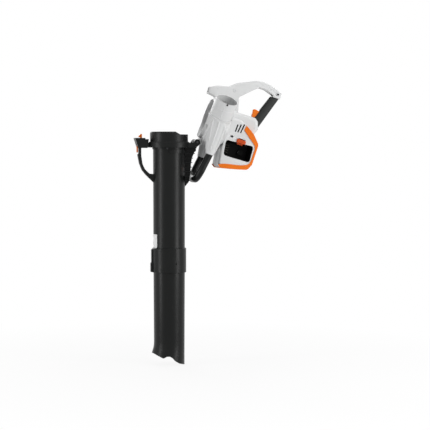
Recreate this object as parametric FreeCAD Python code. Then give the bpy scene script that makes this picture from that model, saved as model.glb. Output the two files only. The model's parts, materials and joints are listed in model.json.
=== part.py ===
import FreeCAD, Part
import math
import os

# Handheld leaf vacuum shredder: a power head that hooks on a suction tube and swings down onto it.
# Millimetres, +Z up. The origin is on the tube's axis, inside the collar that enters the power head.
# The head is drawn closed on the tube and turned open about the hinge at the end.

V = FreeCAD.Vector
UP = V(0, 0, 1)
AWAY = V(0, 1, 0)
RIGHT = V(1, 0, 0)

# Clearances
fit_gap = 0.3            # between pieces of different bodies
pin_gap = 0.05           # a pin in its bore, on the radius

# Upper suction tube and its flange
tube_radius = 64.0
tube_tip_radius = 63.0
tube_wall = 2.6
upper_length = 512.0
seat_z = -14.0           # face that the power head sits on
flange_radius = 84.0
flange_depth = 20.0
flange_wall = 3.5
flange_ribs = 10
sleeve_depth = 7.0
sleeve_wall = 3.0
spigot_radius = 76.0
spigot_wall = 3.0
spigot_top = 29.0
spigot_low_top = 18.0
spigot_lead = 5.0        # tapered end of the spigot
seal_gap = 1.2           # between the spigot and the seal round its foot
seal_height = 3.0

# Lower suction tube
barrel_overlap = 94.0    # length of the upper barrel inside the collar
collar_top = seat_z - 4 - upper_length + barrel_overlap
collar_length = 98.0
collar_wall = 5.0
snap_z = collar_top - 60.0
snap_turn = 15.0
lower_tip_radius = 61.3
mouth_left = collar_top - 421.0
mouth_right = collar_top - 470.0
mouth_flare = 9.0
mouth_notch = 19.0

# Hinge between tube and head
hinge_x = 107.5
hinge_z = -12.8
hinge_pin_radius = 4.0
hinge_eye_radius = 12.0
hinge_half_width = 42.0
lug_half_width = 30.0
lug_thick = 10.0
open_angle = 108.0

# Latch pocket, lever and bar
pocket_top = 4.0
pocket_depth = 40.0
pocket_half_width = 26.0
pocket_wall = 3.0
latch_x = -121.0
latch_z = -14.5
latch_pin_radius = 2.4
latch_half_width = 4.0
latch_spring_room = 8.0
bar_x = -122.5
bar_z = 4.0
bar_radius = 2.5

# Strut loop and gusset of the tube
strut_thick = 22.0
gusset_half_width = 27.0
gusset_ribs = 7
gusset_pitch = 18.0
gusset_web = 4.0

# Fan case: a volute with a tangential spout, turned towards the user
case_height = 84.0
case_wall = 3.2
case_top_round = 14.0
case_low_round = 9.0
volute_radius = 92.0
volute_growth = 5.4      # gained by the radius at each quarter turn
volute_blend = 40.0
spout_turn = 27.0        # degrees from -X towards -Y
spout_offset = 66.0
spout_radius = 45.0
spout_wall = 2.8
spout_reach = 127.0
spout_tip_radius = 44.4  # free end, which a bag's collar or a pipe goes over
spout_tip_length = 31.0
spout_z = 37.0
throat_radius = 48.0
throat_end = 48.0
spout_ring = 7.0
split_z = 42.0
intake_radius = 80.0
intake_wall = 3.5
intake_top = 19.0
intake_depth = 11.5
skirt_middle = -4.0      # height of the slanted skirt on the axis
skirt_slant = 6.8
skirt_lean = 4.6

# Front loop handle
loop_radius = 14.0
loop_half_width = 74.0
loop_end_x = 251.0
loop_corner = 44.0
loop_drop = 9.0          # degrees below level
socket_x = 141.0
far_socket_x = 154.0
socket_z = 43.0
socket_wall = 2.6
socket_depth = 26.0

# Motor and rotor on the tube's axis
shaft_radius = 5.0
fan_radius = 81.0
fan_low = 34.0
fan_high = 72.0
fan_plate = 3.0
fan_blades = 9
blade_thick = 2.4
knife_radius = 62.0
knife_z = 29.0
motor_radius = 31.0
motor_low = 98.0
motor_height = 52.0
bearing_radius = 11.0
bearing_width = 8.0
cooling_radius = 27.0

# Motor and battery housing
body_half_width = 66.0
cowl_half_width = 54.0
body_wall = 3.0
box_round = 9.0
cowl_round = 14.0
boss_radius = 5.5
trim_proud = 2.6
chin_half_width = 50.0
bay_depth = 112.0

# Arm and grip
arm_half_width = 21.0
arm_wall = 3.0
eye_x = -179.0
eye_z = 246.0
eye_bolt_radius = 3.0
grip_slope = 19.8        # degrees below level, towards the body
grip_start_radius = 17.0
grip_end_radius = 20.5
grip_length = 168.0
sleeve_rubber = 2.2
grip_core_wall = 3.2
trigger_half_width = 8.0
trigger_pin_x = -67.0
trigger_pin_z = 203.0
trigger_pin_radius = 2.0


# Helpers

def box(x0, x1, y0, y1, z0, z1):
    return Part.makeBox(x1 - x0, y1 - y0, z1 - z0, V(x0, y0, z0))


def rod(radius, start, direction, length):
    return Part.makeCylinder(radius, length, start, direction)


def pipe(outer, inner, start, direction, length):
    return rod(outer, start, direction, length).cut(rod(inner, start, direction, length))


def rounded_wire(points, place):
    """A closed outline; each point is (a, b, corner radius)."""
    corners = []
    count = len(points)
    for i, (a, b, radius) in enumerate(points):
        here = V(a, b, 0)
        before = V(points[i - 1][0], points[i - 1][1], 0)
        after = V(points[(i + 1) % count][0], points[(i + 1) % count][1], 0)
        back = (before - here).normalize()
        ahead = (after - here).normalize()
        half = back.getAngle(ahead) / 2
        reach = radius / math.tan(half) if radius else 0
        bisector = back + ahead
        if reach < 0.01 or bisector.Length < 1e-3:
            corners.append([here, None, here])
            continue
        middle = here + bisector.normalize() * (radius / math.sin(half) - radius)
        corners.append([here + back * reach, middle, here + ahead * reach])
    edges = []
    for i, (start, middle, end) in enumerate(corners):
        if middle is not None:
            edges.append(Part.Arc(place(start), place(middle), place(end)).toShape())
        follow = corners[(i + 1) % count][0]
        if (follow - end).Length > 0.01:
            edges.append(Part.LineSegment(place(end), place(follow)).toShape())
    return Part.Wire(edges)


def upright(y):
    return lambda p: V(p.x, y, p.y)


def level(z):
    return lambda p: V(p.x, p.y, z)


def prism_y(points, y0, y1):
    return Part.Face(rounded_wire(points, upright(y0))).extrude(V(0, y1 - y0, 0))


def inner_prism_y(points, inset, y0, y1):
    face = Part.Face(rounded_wire(points, upright(y0)))
    return face.makeOffset2D(-inset).extrude(V(0, y1 - y0, 0))


def soften(solid, radius, wanted):
    edges = [e for e in solid.Edges if wanted(e)]
    return solid.makeFillet(radius, edges)


def lies_at(edge, axis, value):
    box_ = edge.BoundBox
    low, high = {"x": (box_.XMin, box_.XMax), "y": (box_.YMin, box_.YMax), "z": (box_.ZMin, box_.ZMax)}[axis]
    return abs(low - value) < 1e-3 and abs(high - value) < 1e-3


def union(shapes):
    whole = shapes[0].multiFuse(shapes[1:])
    return whole.removeSplitter()


def group(shapes):
    return Part.makeCompound(shapes)


def screw(position, direction, head, shank, length):
    """A cap screw whose head sits on the surface at position and whose shank goes along direction."""
    cap = rod(head, position - direction * head * 0.7, direction, head * 0.7)
    hex_pocket = rod(head * 0.5, position - direction * head * 0.75, direction, head * 0.4)
    return cap.cut(hex_pocket).fuse(rod(shank, position, direction, length)).removeSplitter()


def coil(radius, wire, turns, start, direction):
    """A close-wound spring: its turns are ridges on a thin sleeve."""
    half = wire / 2
    inner = radius - wire
    edges = []
    for i in range(turns):
        low = V(radius, 0, i * wire)
        peak = V(radius + half, 0, i * wire + half)
        edges.append(Part.LineSegment(low, peak).toShape())
        edges.append(Part.LineSegment(peak, low + V(0, 0, wire)).toShape())
    corners = [V(radius, 0, turns * wire), V(inner, 0, turns * wire), V(inner, 0, 0), V(radius, 0, 0)]
    for one, other in zip(corners, corners[1:]):
        edges.append(Part.LineSegment(one, other).toShape())
    spring = Part.Face(Part.Wire(edges)).revolve(V(0, 0, 0), UP, 360)
    spring.Placement = FreeCAD.Placement(start, FreeCAD.Rotation(UP, direction))
    return spring


# Suction tube

def tube_core(extra):
    top = seat_z - 4
    return Part.makeCone(tube_tip_radius + extra, tube_radius + extra, upper_length, V(0, 0, top - upper_length), UP)


def make_upper_tube():
    barrel = tube_core(0).cut(tube_core(-tube_wall))
    snap = rod(3.2, V(0, -tube_tip_radius - 2.2, snap_z), AWAY, 4).rotated(V(0, 0, 0), UP, snap_turn)
    return barrel.fuse(snap).removeSplitter()


def make_tube_flange():
    bottom = seat_z - flange_depth
    sleeve_inner = tube_radius + 0.05
    plate = rod(flange_radius, V(0, 0, seat_z - 4), UP, 4)
    rim = pipe(flange_radius, flange_radius - flange_wall, V(0, 0, bottom), UP, flange_depth)
    sleeve = pipe(sleeve_inner + sleeve_wall, sleeve_inner, V(0, 0, bottom - sleeve_depth), UP,
                  flange_depth + sleeve_depth)
    spigot = rod(spigot_radius, V(0, 0, seat_z - 4), UP, spigot_top - spigot_lead - seat_z + 4)
    lead = Part.makeCone(spigot_radius, spigot_radius - spigot_lead * 0.4, spigot_lead,
                         V(0, 0, spigot_top - spigot_lead), UP)
    spigot = spigot.fuse(lead).cut(rod(spigot_radius - spigot_wall, V(0, 0, seat_z - 5), UP, 100))
    high_side = prism_y([(12, spigot_top + 20, 0), (14, spigot_top, 6), (34, spigot_low_top, 8),
                         (90, spigot_low_top, 0), (90, spigot_top + 20, 0)], -90, 90)
    spigot = spigot.cut(high_side)
    ribs = [box(sleeve_inner + 1, flange_radius - 1, -1.5, 1.5, bottom + 2, seat_z - 2)
            .rotated(V(0, 0, 0), UP, 360.0 * (i + 0.5) / flange_ribs) for i in range(flange_ribs)]
    web = box(-flange_radius - 6, -flange_radius + 3, -14, 14, bottom, seat_z - 1)
    arm = make_hinge_arm()
    whole = union([plate, rim, sleeve, spigot, web, arm] + ribs)
    throat = Part.makeCone(tube_radius - tube_wall, spigot_radius - spigot_wall, 4, V(0, 0, seat_z - 4), UP)
    eyes = rod(hinge_pin_radius, V(hinge_x, -60, hinge_z), AWAY, 120)
    return whole.cut(throat).cut(eyes).cut(pocket_solid())


def make_hinge_arm():
    """Two ears outside, with the head's lugs between them."""
    half = hinge_half_width
    inner = lug_half_width + fit_gap
    outline = [(60, seat_z - flange_depth, 0), (hinge_x - 4, seat_z - flange_depth, 6),
               (hinge_x + hinge_eye_radius, hinge_z - 8, 6), (hinge_x + hinge_eye_radius, hinge_z, 0),
               (hinge_x + 0.5, hinge_z, 0), (hinge_x - 9, seat_z - 0.02, 4), (60, seat_z - 0.02, 0)]
    arm = prism_y(outline, -half, half)
    hollow = box(tube_radius + 8, hinge_x - 18, -half + 4, half - 4, seat_z - flange_depth - 1, seat_z - 4)
    ears = rod(hinge_eye_radius, V(hinge_x, -half, hinge_z), AWAY, 2 * half)
    between = box(hinge_x - hinge_eye_radius - 1, hinge_x + hinge_eye_radius + 5, -inner, inner,
                  hinge_z - hinge_eye_radius - 12, hinge_z + hinge_eye_radius + 1)
    inside = rod(flange_radius - 1, V(0, 0, seat_z - flange_depth - 1), UP, flange_depth + 2)
    return arm.fuse(ears).cut(between).cut(hollow).cut(inside)


def pocket_outline(inset):
    low = pocket_top - pocket_depth
    return [(-140 + inset, pocket_top, 0), (-127 + inset, low, 4), (-89.5 - inset, low, 4),
            (-84.5 - inset, pocket_top, 0)]


def pocket_solid():
    """The pocket's outer form, set round the flange's rim."""
    whole = prism_y(pocket_outline(0), -pocket_half_width, pocket_half_width)
    whole = whole.cut(rod(flange_radius, V(0, 0, seat_z - flange_depth - 20), UP, 100))
    return whole.cut(box(-99, -60, -60, 60, -0.8, pocket_top + 1))


def make_latch_pocket():
    low = pocket_top - pocket_depth
    half = pocket_half_width - pocket_wall
    points = pocket_outline(pocket_wall)
    floor = low + pocket_wall
    points[1] = (points[1][0], floor, 2)
    points[2] = (points[2][0], floor, 2)
    points[0] = (points[0][0] - 0.5, pocket_top + 1, 0)
    points[3] = (points[3][0], pocket_top + 1, 0)
    inner = prism_y(points, -half, half)
    notch = box(-150, -124.5, -latch_half_width - 1, latch_half_width + 1, low - 1, low + 18)
    shell = pocket_solid().cut(inner).cut(notch)
    ears = []
    for y0, y1 in latch_ears():
        post = box(latch_x - 4.5, latch_x + 5.5, y0, y1, floor - 1, latch_z)
        ears.append(post.fuse(rod(5.2, V(latch_x, y0, latch_z), AWAY, y1 - y0)))
    dot = rod(3.2, V(-124, -pocket_half_width - 1.2, latch_z), AWAY, 2)
    bore = rod(latch_pin_radius, V(latch_x, -20, latch_z), AWAY, 40)
    return union([shell, dot] + ears).cut(bore)


def latch_ears():
    """Near and far range in y of the two ears that hold the lever's pin."""
    near = latch_half_width + 1
    far = latch_half_width + latch_spring_room
    return [(-near - 4.5, -near), (far, far + 4)]


def make_latch_lever():
    outline = [(latch_x - 5, latch_z - 4, 3), (latch_x - 5, latch_z + 4, 3), (-117, latch_z + 9, 3),
               (-117, 7, 0.6), (-124, 7, 0.5), (-124, 9.5, 0.5), (-115, 20, 1.5), (-109.6, 20, 1.5),
               (-109.6, latch_z + 4, 3), (-114, -25, 4), (-114, -31.5, 3), (-126, -31.5, 1), (-126, -54, 1.5),
               (-131, -54, 1.5), (-131, -26.5, 3), (latch_x - 4, -26.5, 2)]
    lever = prism_y(outline, -latch_half_width, latch_half_width)
    boss = rod(5.5, V(latch_x, -latch_half_width, latch_z), AWAY, 2 * latch_half_width)
    bore = rod(latch_pin_radius + pin_gap, V(latch_x, -20, latch_z), AWAY, 40)
    return lever.fuse(boss).cut(bore).removeSplitter()


def make_latch_pin():
    near, far = latch_ears()
    return rod(latch_pin_radius, V(latch_x, near[0], latch_z), AWAY, far[1] - near[0])


def make_latch_spring():
    return coil(4.2, 1.3, 5, V(latch_x, latch_half_width + 0.6, latch_z), AWAY)


def make_tube_loop():
    bottom = pocket_top - pocket_depth
    outline = [(-123.5, bottom, 0), (-123.5, -57, 3), (-128, -61, 4), (-121, -97, 40), (-110.7, -124, 40),
               (-94, -144, 40), (-60, -177, 0), (-60, -139.5, 0), (-66, -139.5, 4), (-80, -138, 8),
               (-98, -121, 30), (-108, -100, 40), (-113, -66, 60), (-113, bottom, 0)]
    strap = prism_y(outline, -strut_thick / 2, strut_thick / 2)
    strap = soften(strap, 3, lambda e: not lies_at(e, "z", bottom) and (
        lies_at(e, "y", -strut_thick / 2) or lies_at(e, "y", strut_thick / 2)))
    return strap.cut(tube_core(0))


def make_tube_gusset():
    top = seat_z - flange_depth
    outline = [(50, top, 0), (hinge_x + 1, top, 2), (110, -48, 6), (103, -52, 6), (93, -76, 20), (89, -100, 40),
               (86, -144, 40), (80, -172, 10), (58, -198, 0), (50, -198, 0)]
    web = prism_y(outline, -gusset_web / 2, gusset_web / 2)
    shape = prism_y(outline, -gusset_half_width, gusset_half_width)
    fins = [box(50, 120, -gusset_half_width, gusset_half_width, -60 - gusset_pitch * i, -57 - gusset_pitch * i)
            .common(shape) for i in range(gusset_ribs)]
    head_plate = box(50, 120, -gusset_half_width, gusset_half_width, top - 3, top).common(shape)
    clasp = pipe(tube_radius + 4.5, tube_radius - 1, V(0, 0, top - sleeve_depth - 15), UP, 14.4)
    clasp = clasp.common(box(-7, 100, -100, 100, -200, 0))
    whole = union([web, clasp, head_plate] + fins)
    clear = rod(tube_radius + 0.05 + sleeve_wall, V(0, 0, top - sleeve_depth), UP, sleeve_depth)
    return whole.cut(tube_core(0)).cut(clear)


def make_tube_screws():
    z = seat_z - flange_depth - sleeve_depth / 2
    screws = []
    for turn in (-15, 57, 180, 243):
        start = V(0, -tube_radius - 0.05 - sleeve_wall, z)
        piece = screw(start, AWAY, 3.6, 1.8, sleeve_wall + tube_wall)
        screws.append(piece.rotated(V(0, 0, 0), UP, turn))
    return group(screws)


def lower_section(z, extra):
    """Circle of the lower tube at a height; the left side runs out in a lip."""
    fall = (collar_top - collar_length - z) / (collar_top - collar_length - mouth_left)
    radius = tube_tip_radius + (lower_tip_radius - tube_tip_radius) * min(fall, 1)
    lip = mouth_flare * max(0.0, (mouth_left + 45 - z) / 45) ** 2 * 0.5
    lip = min(lip, mouth_flare)
    return Part.Wire([Part.Circle(V(-lip, 0, z), UP, radius + lip + extra).toShape()])


def lower_barrel(extra):
    top = collar_top - collar_length
    low = mouth_left + 60
    taper = (tube_tip_radius - lower_tip_radius) * (top - low) / (top - mouth_left)
    return Part.makeCone(tube_tip_radius - taper + extra, tube_tip_radius + extra, top - low, V(0, 0, low), UP)


def make_lower_tube():
    collar_low = collar_top - collar_length
    heights = [collar_low, mouth_left + 60, mouth_left + 42, mouth_left + 22, mouth_left, mouth_right - 6]
    barrel = lower_barrel(0)
    bell = Part.makeLoft([lower_section(z, 0) for z in heights[1:]], True)
    hollow = lower_barrel(-tube_wall)
    bell_hollow = Part.makeLoft([lower_section(z, -tube_wall) for z in heights[1:]], True)
    socket = tube_core(0.1)
    outer = tube_tip_radius + 0.4 + collar_wall
    collar = rod(outer, V(0, 0, collar_low), UP, collar_length)
    collar = soften(collar, 2.5, lambda e: lies_at(e, "z", collar_low) or lies_at(e, "z", collar_top))
    rib = prism_y([(-outer - 4, collar_top - 4, 3), (-outer + 6, collar_top - 4, 0), (-outer + 6, collar_low + 2, 0),
                   (-outer - 7, collar_low + 2, 2), (-outer - 7, collar_low + 36, 3), (-outer - 4, collar_low + 42, 3)],
                  -9, 9)
    window = rod(3.6, V(0, -90, snap_z), AWAY, 60).rotated(V(0, 0, 0), UP, snap_turn)
    whole = union([barrel, bell, collar, rib])
    step = rod(tube_tip_radius - tube_wall, V(0, 0, collar_low - 0.5), UP, 30)
    whole = whole.cut(hollow).cut(bell_hollow).cut(socket).cut(step).cut(window)
    crest = mouth_left - 17 + mouth_notch * 0.4
    mouth = [(-120, mouth_left - 1, 0), (-67, mouth_left, 0), (-34, mouth_left - 17, 8), (-20, crest, 8),
             (-3, crest, 8), (12, mouth_left - 27, 20), (30, mouth_left - 38, 14), (64, mouth_right, 0),
             (120, mouth_right - 6, 0), (120, mouth_right - 54, 0), (-120, mouth_right - 54, 0)]
    return whole.cut(prism_y(mouth, -120, 120))


# Fan case of the power head

def spout_frame(shape):
    return shape.rotated(V(0, 0, 0), UP, spout_turn)


def volute_face(inset, z):
    """Arcs of growing radius, closed by a blend and a flank where the spout leaves."""
    half = volute_growth / 2
    radii = [volute_radius - inset, volute_radius + volute_growth - inset,
             volute_radius + 2 * volute_growth - inset, volute_blend - inset]
    centres = [V(-half, -half, z), V(-half, -3 * half, z), V(-3 * half, -3 * half, z)]
    centres.append(centres[2] + V(0, radii[3] - radii[2], 0))
    apart = centres[3] - centres[0]
    flank = math.degrees(math.atan2(apart.y, apart.x) - math.acos((radii[0] - radii[3]) / apart.Length))

    def at(i, angle):
        turn = math.radians(angle)
        return centres[i] + V(math.cos(turn), math.sin(turn), 0) * radii[i]

    def arc(i, start, end):
        return Part.Arc(at(i, start), at(i, (start + end) / 2), at(i, end)).toShape()

    side = Part.LineSegment(at(3, flank), at(0, flank)).toShape()
    edges = [arc(0, flank, -270), arc(1, -270, -360), arc(2, 0, -90), arc(3, -90, flank), side]
    return Part.Face(Part.Wire(edges))


def volute(inset, z0, z1):
    return volute_face(inset, z0).extrude(V(0, 0, z1 - z0))


def rounded_volute(inset):
    """The drum with its wall set in by inset and its rims rounded to match."""
    top = case_height - inset
    drum = volute(inset, inset, top)
    drum = drum.makeFillet(case_top_round - inset, [e for e in drum.Edges if lies_at(e, "z", top)])
    return drum.makeFillet(case_low_round - inset, [e for e in drum.Edges if lies_at(e, "z", inset)])


def fairing(stations):
    """Tapered shoulder through elliptical sections; each is (x, y, z, half width, half height)."""
    wires = []
    for x, y, z, half_y, half_z in stations:
        if half_y == half_z:
            curve = Part.Circle(V(x, y, z), RIGHT, half_y)
        elif half_y > half_z:
            curve = Part.Ellipse(V(x, y + half_y, z), V(x, y, z + half_z), V(x, y, z))
        else:
            curve = Part.Ellipse(V(x, y, z + half_z), V(x, y + half_y, z), V(x, y, z))
        wires.append(Part.Wire([curve.toShape()]))
    return Part.makeLoft(wires, True)


def loop_z(x):
    return socket_z - (x - socket_x) * math.tan(math.radians(loop_drop))


def case_outer():
    drum = rounded_volute(0)
    throat = rod(throat_radius, V(-10, -spout_offset, spout_z), V(-1, 0, 0), throat_end - 10)
    throat = throat.cut(rod(intake_radius + intake_wall + 1.3, V(0, 0, -30), UP, 30))
    turned = spout_frame(union([drum, throat]))
    return union([turned] + case_lugs())


def make_shoulders(outer):
    """Near and far moulding that carries a leg of the front loop; the near one runs on from the spout."""
    tip = loop_radius + socket_wall
    near = fairing([(0, -77, spout_z, 50, 46), (62, -74, 40, 36, 36),
                    (socket_x, -loop_half_width, loop_z(socket_x), tip, tip)])
    far = fairing([(24, 62, split_z, 38, 38), (84, 71, split_z, 27, 28),
                   (far_socket_x, loop_half_width, loop_z(far_socket_x), tip, tip)])
    ring = rod(intake_radius + intake_wall + 1.2, V(0, 0, -20), UP, 20)
    bore_a, bore_b = leg_bore(loop_radius + 0.02)
    spout = spout_frame(rod(throat_radius + 1.55, V(-throat_end, -spout_offset, spout_z), V(-1, 0, 0), 100))
    near = near.cut(outer).cut(ring).cut(bore_a).cut(spout)
    far = far.cut(outer).cut(ring).cut(bore_b)
    return largest(near), largest(far)


def largest(shape):
    return max(shape.Solids, key=lambda s: s.Volume)


def leg_bore(radius):
    bores = []
    for side, x_end in ((-1, socket_x), (1, far_socket_x)):
        drop = V(math.cos(math.radians(loop_drop)), 0, -math.sin(math.radians(loop_drop)))
        start = V(x_end - socket_depth, side * loop_half_width, loop_z(x_end - socket_depth))
        bores.append(rod(radius, start, drop, socket_depth + 20))
    return bores


def hinge_lugs():
    lugs = []
    for side in (-1, 1):
        outer = side * lug_half_width
        inner = side * (lug_half_width - lug_thick)
        y0, y1 = min(inner, outer), max(inner, outer)
        eye = rod(hinge_eye_radius - 2, V(hinge_x, y0, hinge_z), AWAY, y1 - y0)
        stem = prism_y([(hinge_x - 9, hinge_z, 0), (hinge_x + 9, hinge_z, 0), (hinge_x + 6, 8, 0),
                        (hinge_x - 14, 14, 0), (hinge_x - 26, 14, 0), (hinge_x - 22, 2, 8)], y0, y1)
        lugs.append(eye.fuse(stem))
    return lugs


def make_case(outer):
    """Lower and upper half of the fan case."""
    cavity = spout_frame(rounded_volute(case_wall))
    bore = rod(spout_radius - spout_wall, V(10, -spout_offset, spout_z), V(-1, 0, 0), spout_reach + 60)
    seat = rod(spout_radius + 0.05, V(-throat_end + 14, -spout_offset, spout_z), V(-1, 0, 0), 60)
    hollow = union([cavity, spout_frame(bore), spout_frame(seat)])
    collar = pipe(intake_radius + intake_wall, intake_radius, V(0, 0, 0), UP, intake_top)
    skirt = pipe(intake_radius + intake_wall + 1.2, intake_radius + 1.5, V(0, 0, -intake_depth), UP, intake_depth + 1)
    slant = box(-200, 200, -200, 200, -100, 0).rotated(V(0, 0, 0), AWAY, skirt_slant)
    skirt = skirt.cut(slant.rotated(V(0, 0, 0), RIGHT, skirt_lean).translated(V(0, 0, skirt_middle)))
    eye = rod(intake_radius, V(0, 0, -0.01), UP, case_wall + 1)
    shell = outer.cut(hollow)
    lower = shell.common(box(-300, 300, -300, 300, -50, split_z))
    upper = shell.common(box(-300, 300, -300, 300, split_z, 200))
    lower = union([lower, collar, skirt] + hinge_lugs()).cut(eye)
    lower = lower.cut(rod(hinge_pin_radius + pin_gap, V(hinge_x, -80, hinge_z), AWAY, 160))
    upper = upper.cut(rod(shaft_radius + 6, V(0, 0, case_height - 20), UP, 40))
    return lower, upper


def make_spout(outer, body):
    start = V(-throat_end + 12, -spout_offset, spout_z)
    length = spout_reach - spout_tip_length - throat_end + 12
    tube = pipe(spout_radius, spout_radius - spout_wall, start, V(-1, 0, 0), length)
    step = V(spout_tip_length - spout_reach, -spout_offset, spout_z)
    tube = tube.fuse(pipe(spout_tip_radius, spout_radius - spout_wall, step, V(-1, 0, 0), spout_tip_length))
    ring = pipe(throat_radius + 1.5, spout_radius - 1, V(-throat_end, -spout_offset, spout_z), V(-1, 0, 0), spout_ring)
    whole = spout_frame(tube.fuse(ring))
    drum = spout_frame(volute(-0.05, 0, case_height))
    intake = rod(intake_radius + intake_wall + 1.3, V(0, 0, -20), UP, intake_top + 21)
    return largest(whole.cut(drum).cut(outer).cut(intake).cut(body))


def make_intake_seal():
    """Ring on the tube's flange, round the spigot."""
    return pipe(intake_radius - 0.3, spigot_radius + seal_gap, V(0, 0, seat_z), UP, seal_height)


# Rotor

def make_fan():
    hub = rod(16, V(0, 0, fan_low + 4), UP, fan_high - fan_low - 4)
    plate = rod(fan_radius, V(0, 0, fan_high - fan_plate), UP, fan_plate)
    blades = []
    for i in range(fan_blades):
        inner = V(14, 0, 0)
        middle = V(46, -11, 0)
        outer = V(fan_radius - 1, -34, 0) * (fan_radius - 1) / V(fan_radius - 1, -34, 0).Length
        shift = V(0, blade_thick, 0)
        face = Part.Face(Part.Wire([
            Part.Arc(inner, middle, outer).toShape(),
            Part.LineSegment(outer, outer + shift).toShape(),
            Part.Arc(outer + shift, middle + shift, inner + shift).toShape(),
            Part.LineSegment(inner + shift, inner).toShape()]))
        blade = face.extrude(V(0, 0, fan_high - fan_low - 1)).translated(V(0, 0, fan_low))
        blades.append(blade.rotated(V(0, 0, 0), UP, 360.0 * i / fan_blades))
    wheel = union([hub, plate] + blades)
    limit = rod(fan_radius, V(0, 0, 0), UP, 200)
    return wheel.common(limit).cut(rod(shaft_radius, V(0, 0, 0), UP, 200))


def make_knife():
    blade = Part.Face(rounded_wire([(-knife_radius, -9, 3), (knife_radius - 20, -9, 12), (knife_radius, 3, 2),
                                    (knife_radius, 9, 3), (-knife_radius + 20, 9, 12), (-knife_radius, -3, 2)],
                                   level(knife_z))).extrude(V(0, 0, 3))
    hub = rod(14, V(0, 0, knife_z), UP, fan_low + 4 - knife_z)
    return blade.fuse(hub).cut(rod(shaft_radius, V(0, 0, 0), UP, 80)).removeSplitter()


def make_nut():
    edges = [V(9 * math.cos(math.radians(60 * i)), 9 * math.sin(math.radians(60 * i)), 0) for i in range(6)]
    hexagon = Part.Face(Part.makePolygon(edges + edges[:1])).extrude(V(0, 0, 7))
    return hexagon.translated(V(0, 0, knife_z - 7)).cut(rod(shaft_radius, V(0, 0, 0), UP, 80))


def make_shaft():
    low = knife_z - 9
    high = motor_low + motor_height + 26
    shaft = rod(shaft_radius, V(0, 0, low), UP, high - low)
    core = rod(17, V(0, 0, motor_low + 6), UP, motor_height - 12)
    slots = [rod(2, V(16.5, 0, 0), UP, 300).rotated(V(0, 0, 0), UP, 36 * i) for i in range(10)]
    return shaft.fuse(core.cut(union(slots))).removeSplitter()


def make_stator():
    body = pipe(motor_radius, 17.6, V(0, 0, motor_low + 4), UP, motor_height - 8)
    slots = [box(19, motor_radius - 5, -3, 3, 0, 300).rotated(V(0, 0, 0), UP, 60 * i + 30) for i in range(6)]
    return body.cut(union(slots))


def make_motor_mount():
    """Cast plate on top of the fan case that carries the lower bearing and the motor can."""
    plate = rod(motor_radius + 12, V(0, 0, case_height), UP, 5)
    can = pipe(motor_radius + 3, motor_radius + 0.02, V(0, 0, case_height + 5), UP,
               motor_low + motor_height - case_height - 5)
    step = pipe(motor_radius + 1, motor_radius - 3, V(0, 0, motor_low), UP, 4)
    hub = rod(bearing_radius + 4, V(0, 0, case_height), UP, bearing_width + 1)
    whole = union([plate, can, step, hub])
    whole = whole.cut(rod(bearing_radius, V(0, 0, case_height + 1), UP, 30))
    whole = whole.cut(rod(shaft_radius + 2, V(0, 0, 0), UP, 200))
    ears = union([pipe(5, 1.7, V(motor_radius + 8, 0, case_height), UP, 5).rotated(V(0, 0, 0), UP, 90 * i + 45)
                  for i in range(4)])
    return whole.cut(union([rod(1.7, V(motor_radius + 8, 0, 0), UP, 200).rotated(V(0, 0, 0), UP, 90 * i + 45)
                            for i in range(4)])).fuse(ears).removeSplitter()


def make_motor_cap():
    low = motor_low + motor_height
    plate = rod(motor_radius + 3, V(0, 0, low), UP, 3)
    hub = rod(bearing_radius + 3, V(0, 0, low), UP, bearing_width + 2)
    whole = union([plate, hub]).cut(rod(bearing_radius, V(0, 0, low - 1), UP, bearing_width + 1))
    vents = [rod(3, V(22, 0, 0), UP, 400).rotated(V(0, 0, 0), UP, 45 * i) for i in range(8)]
    return whole.cut(rod(shaft_radius + 2, V(0, 0, 0), UP, 400)).cut(union(vents))


def bearing(z):
    outer = pipe(bearing_radius, bearing_radius - 2.2, V(0, 0, z), UP, bearing_width)
    inner = pipe(shaft_radius + 2, shaft_radius + 0.02, V(0, 0, z), UP, bearing_width)
    cage = pipe(bearing_radius - 2.2, shaft_radius + 2, V(0, 0, z + 2), UP, bearing_width - 4)
    return union([outer, inner, cage])


def make_cooling_fan():
    z = motor_low + motor_height + bearing_width + 6
    hub = rod(9, V(0, 0, z), UP, 9)
    plate = rod(cooling_radius, V(0, 0, z + 7), UP, 2)
    blades = [box(8, cooling_radius - 1, -0.8, 0.8, z, z + 8).rotated(V(0, 0, 0), UP, 30 * i) for i in range(12)]
    return union([hub, plate] + blades).cut(rod(shaft_radius, V(0, 0, 0), UP, 400))


def make_motor_screws():
    screws = []
    for i in range(4):
        piece = screw(V(motor_radius + 8, 0, case_height + 5), V(0, 0, -1), 3, 1.5, 7.5)
        screws.append(piece.rotated(V(0, 0, 0), UP, 90 * i + 45))
    return group(screws)


# Motor and battery housing

def body_points():
    return [(-30, case_height, 0), (-30, 128, 16), (-14, 156, 10), (10, 189, 10), (40, 217, 8), (48, 220, 6),
            (126, 219, 10), (145, 209, 6), (150, 203, 6), (160, 167, 20), (170, 122, 6), (173, 103, 5),
            (163, 90, 4), (112, case_height, 0)]


def make_chin(case):
    """Curved fairing below the housing's free end."""
    outline = [(90, case_height, 0), (90, 50, 0), (108, 52, 12), (140, 66, 30), (163, 90, 3), (150, case_height + 6, 0)]
    block = prism_y(outline, -chin_half_width, chin_half_width)
    block = soften(block, 6, lambda e: (lies_at(e, "y", -chin_half_width) or lies_at(e, "y", chin_half_width))
                   and e.BoundBox.ZMin > 49 and e.BoundBox.XMin > 91 and e.BoundBox.ZMax < 90.5)
    return block.cut(case)


def cowl_points():
    return [(-58, case_height, 0), (-58, 182, 3), (-48, 196, 4), (-18, 207, 5), (8, 197, 8), (30, 196, 0),
            (30, case_height, 0)]


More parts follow.
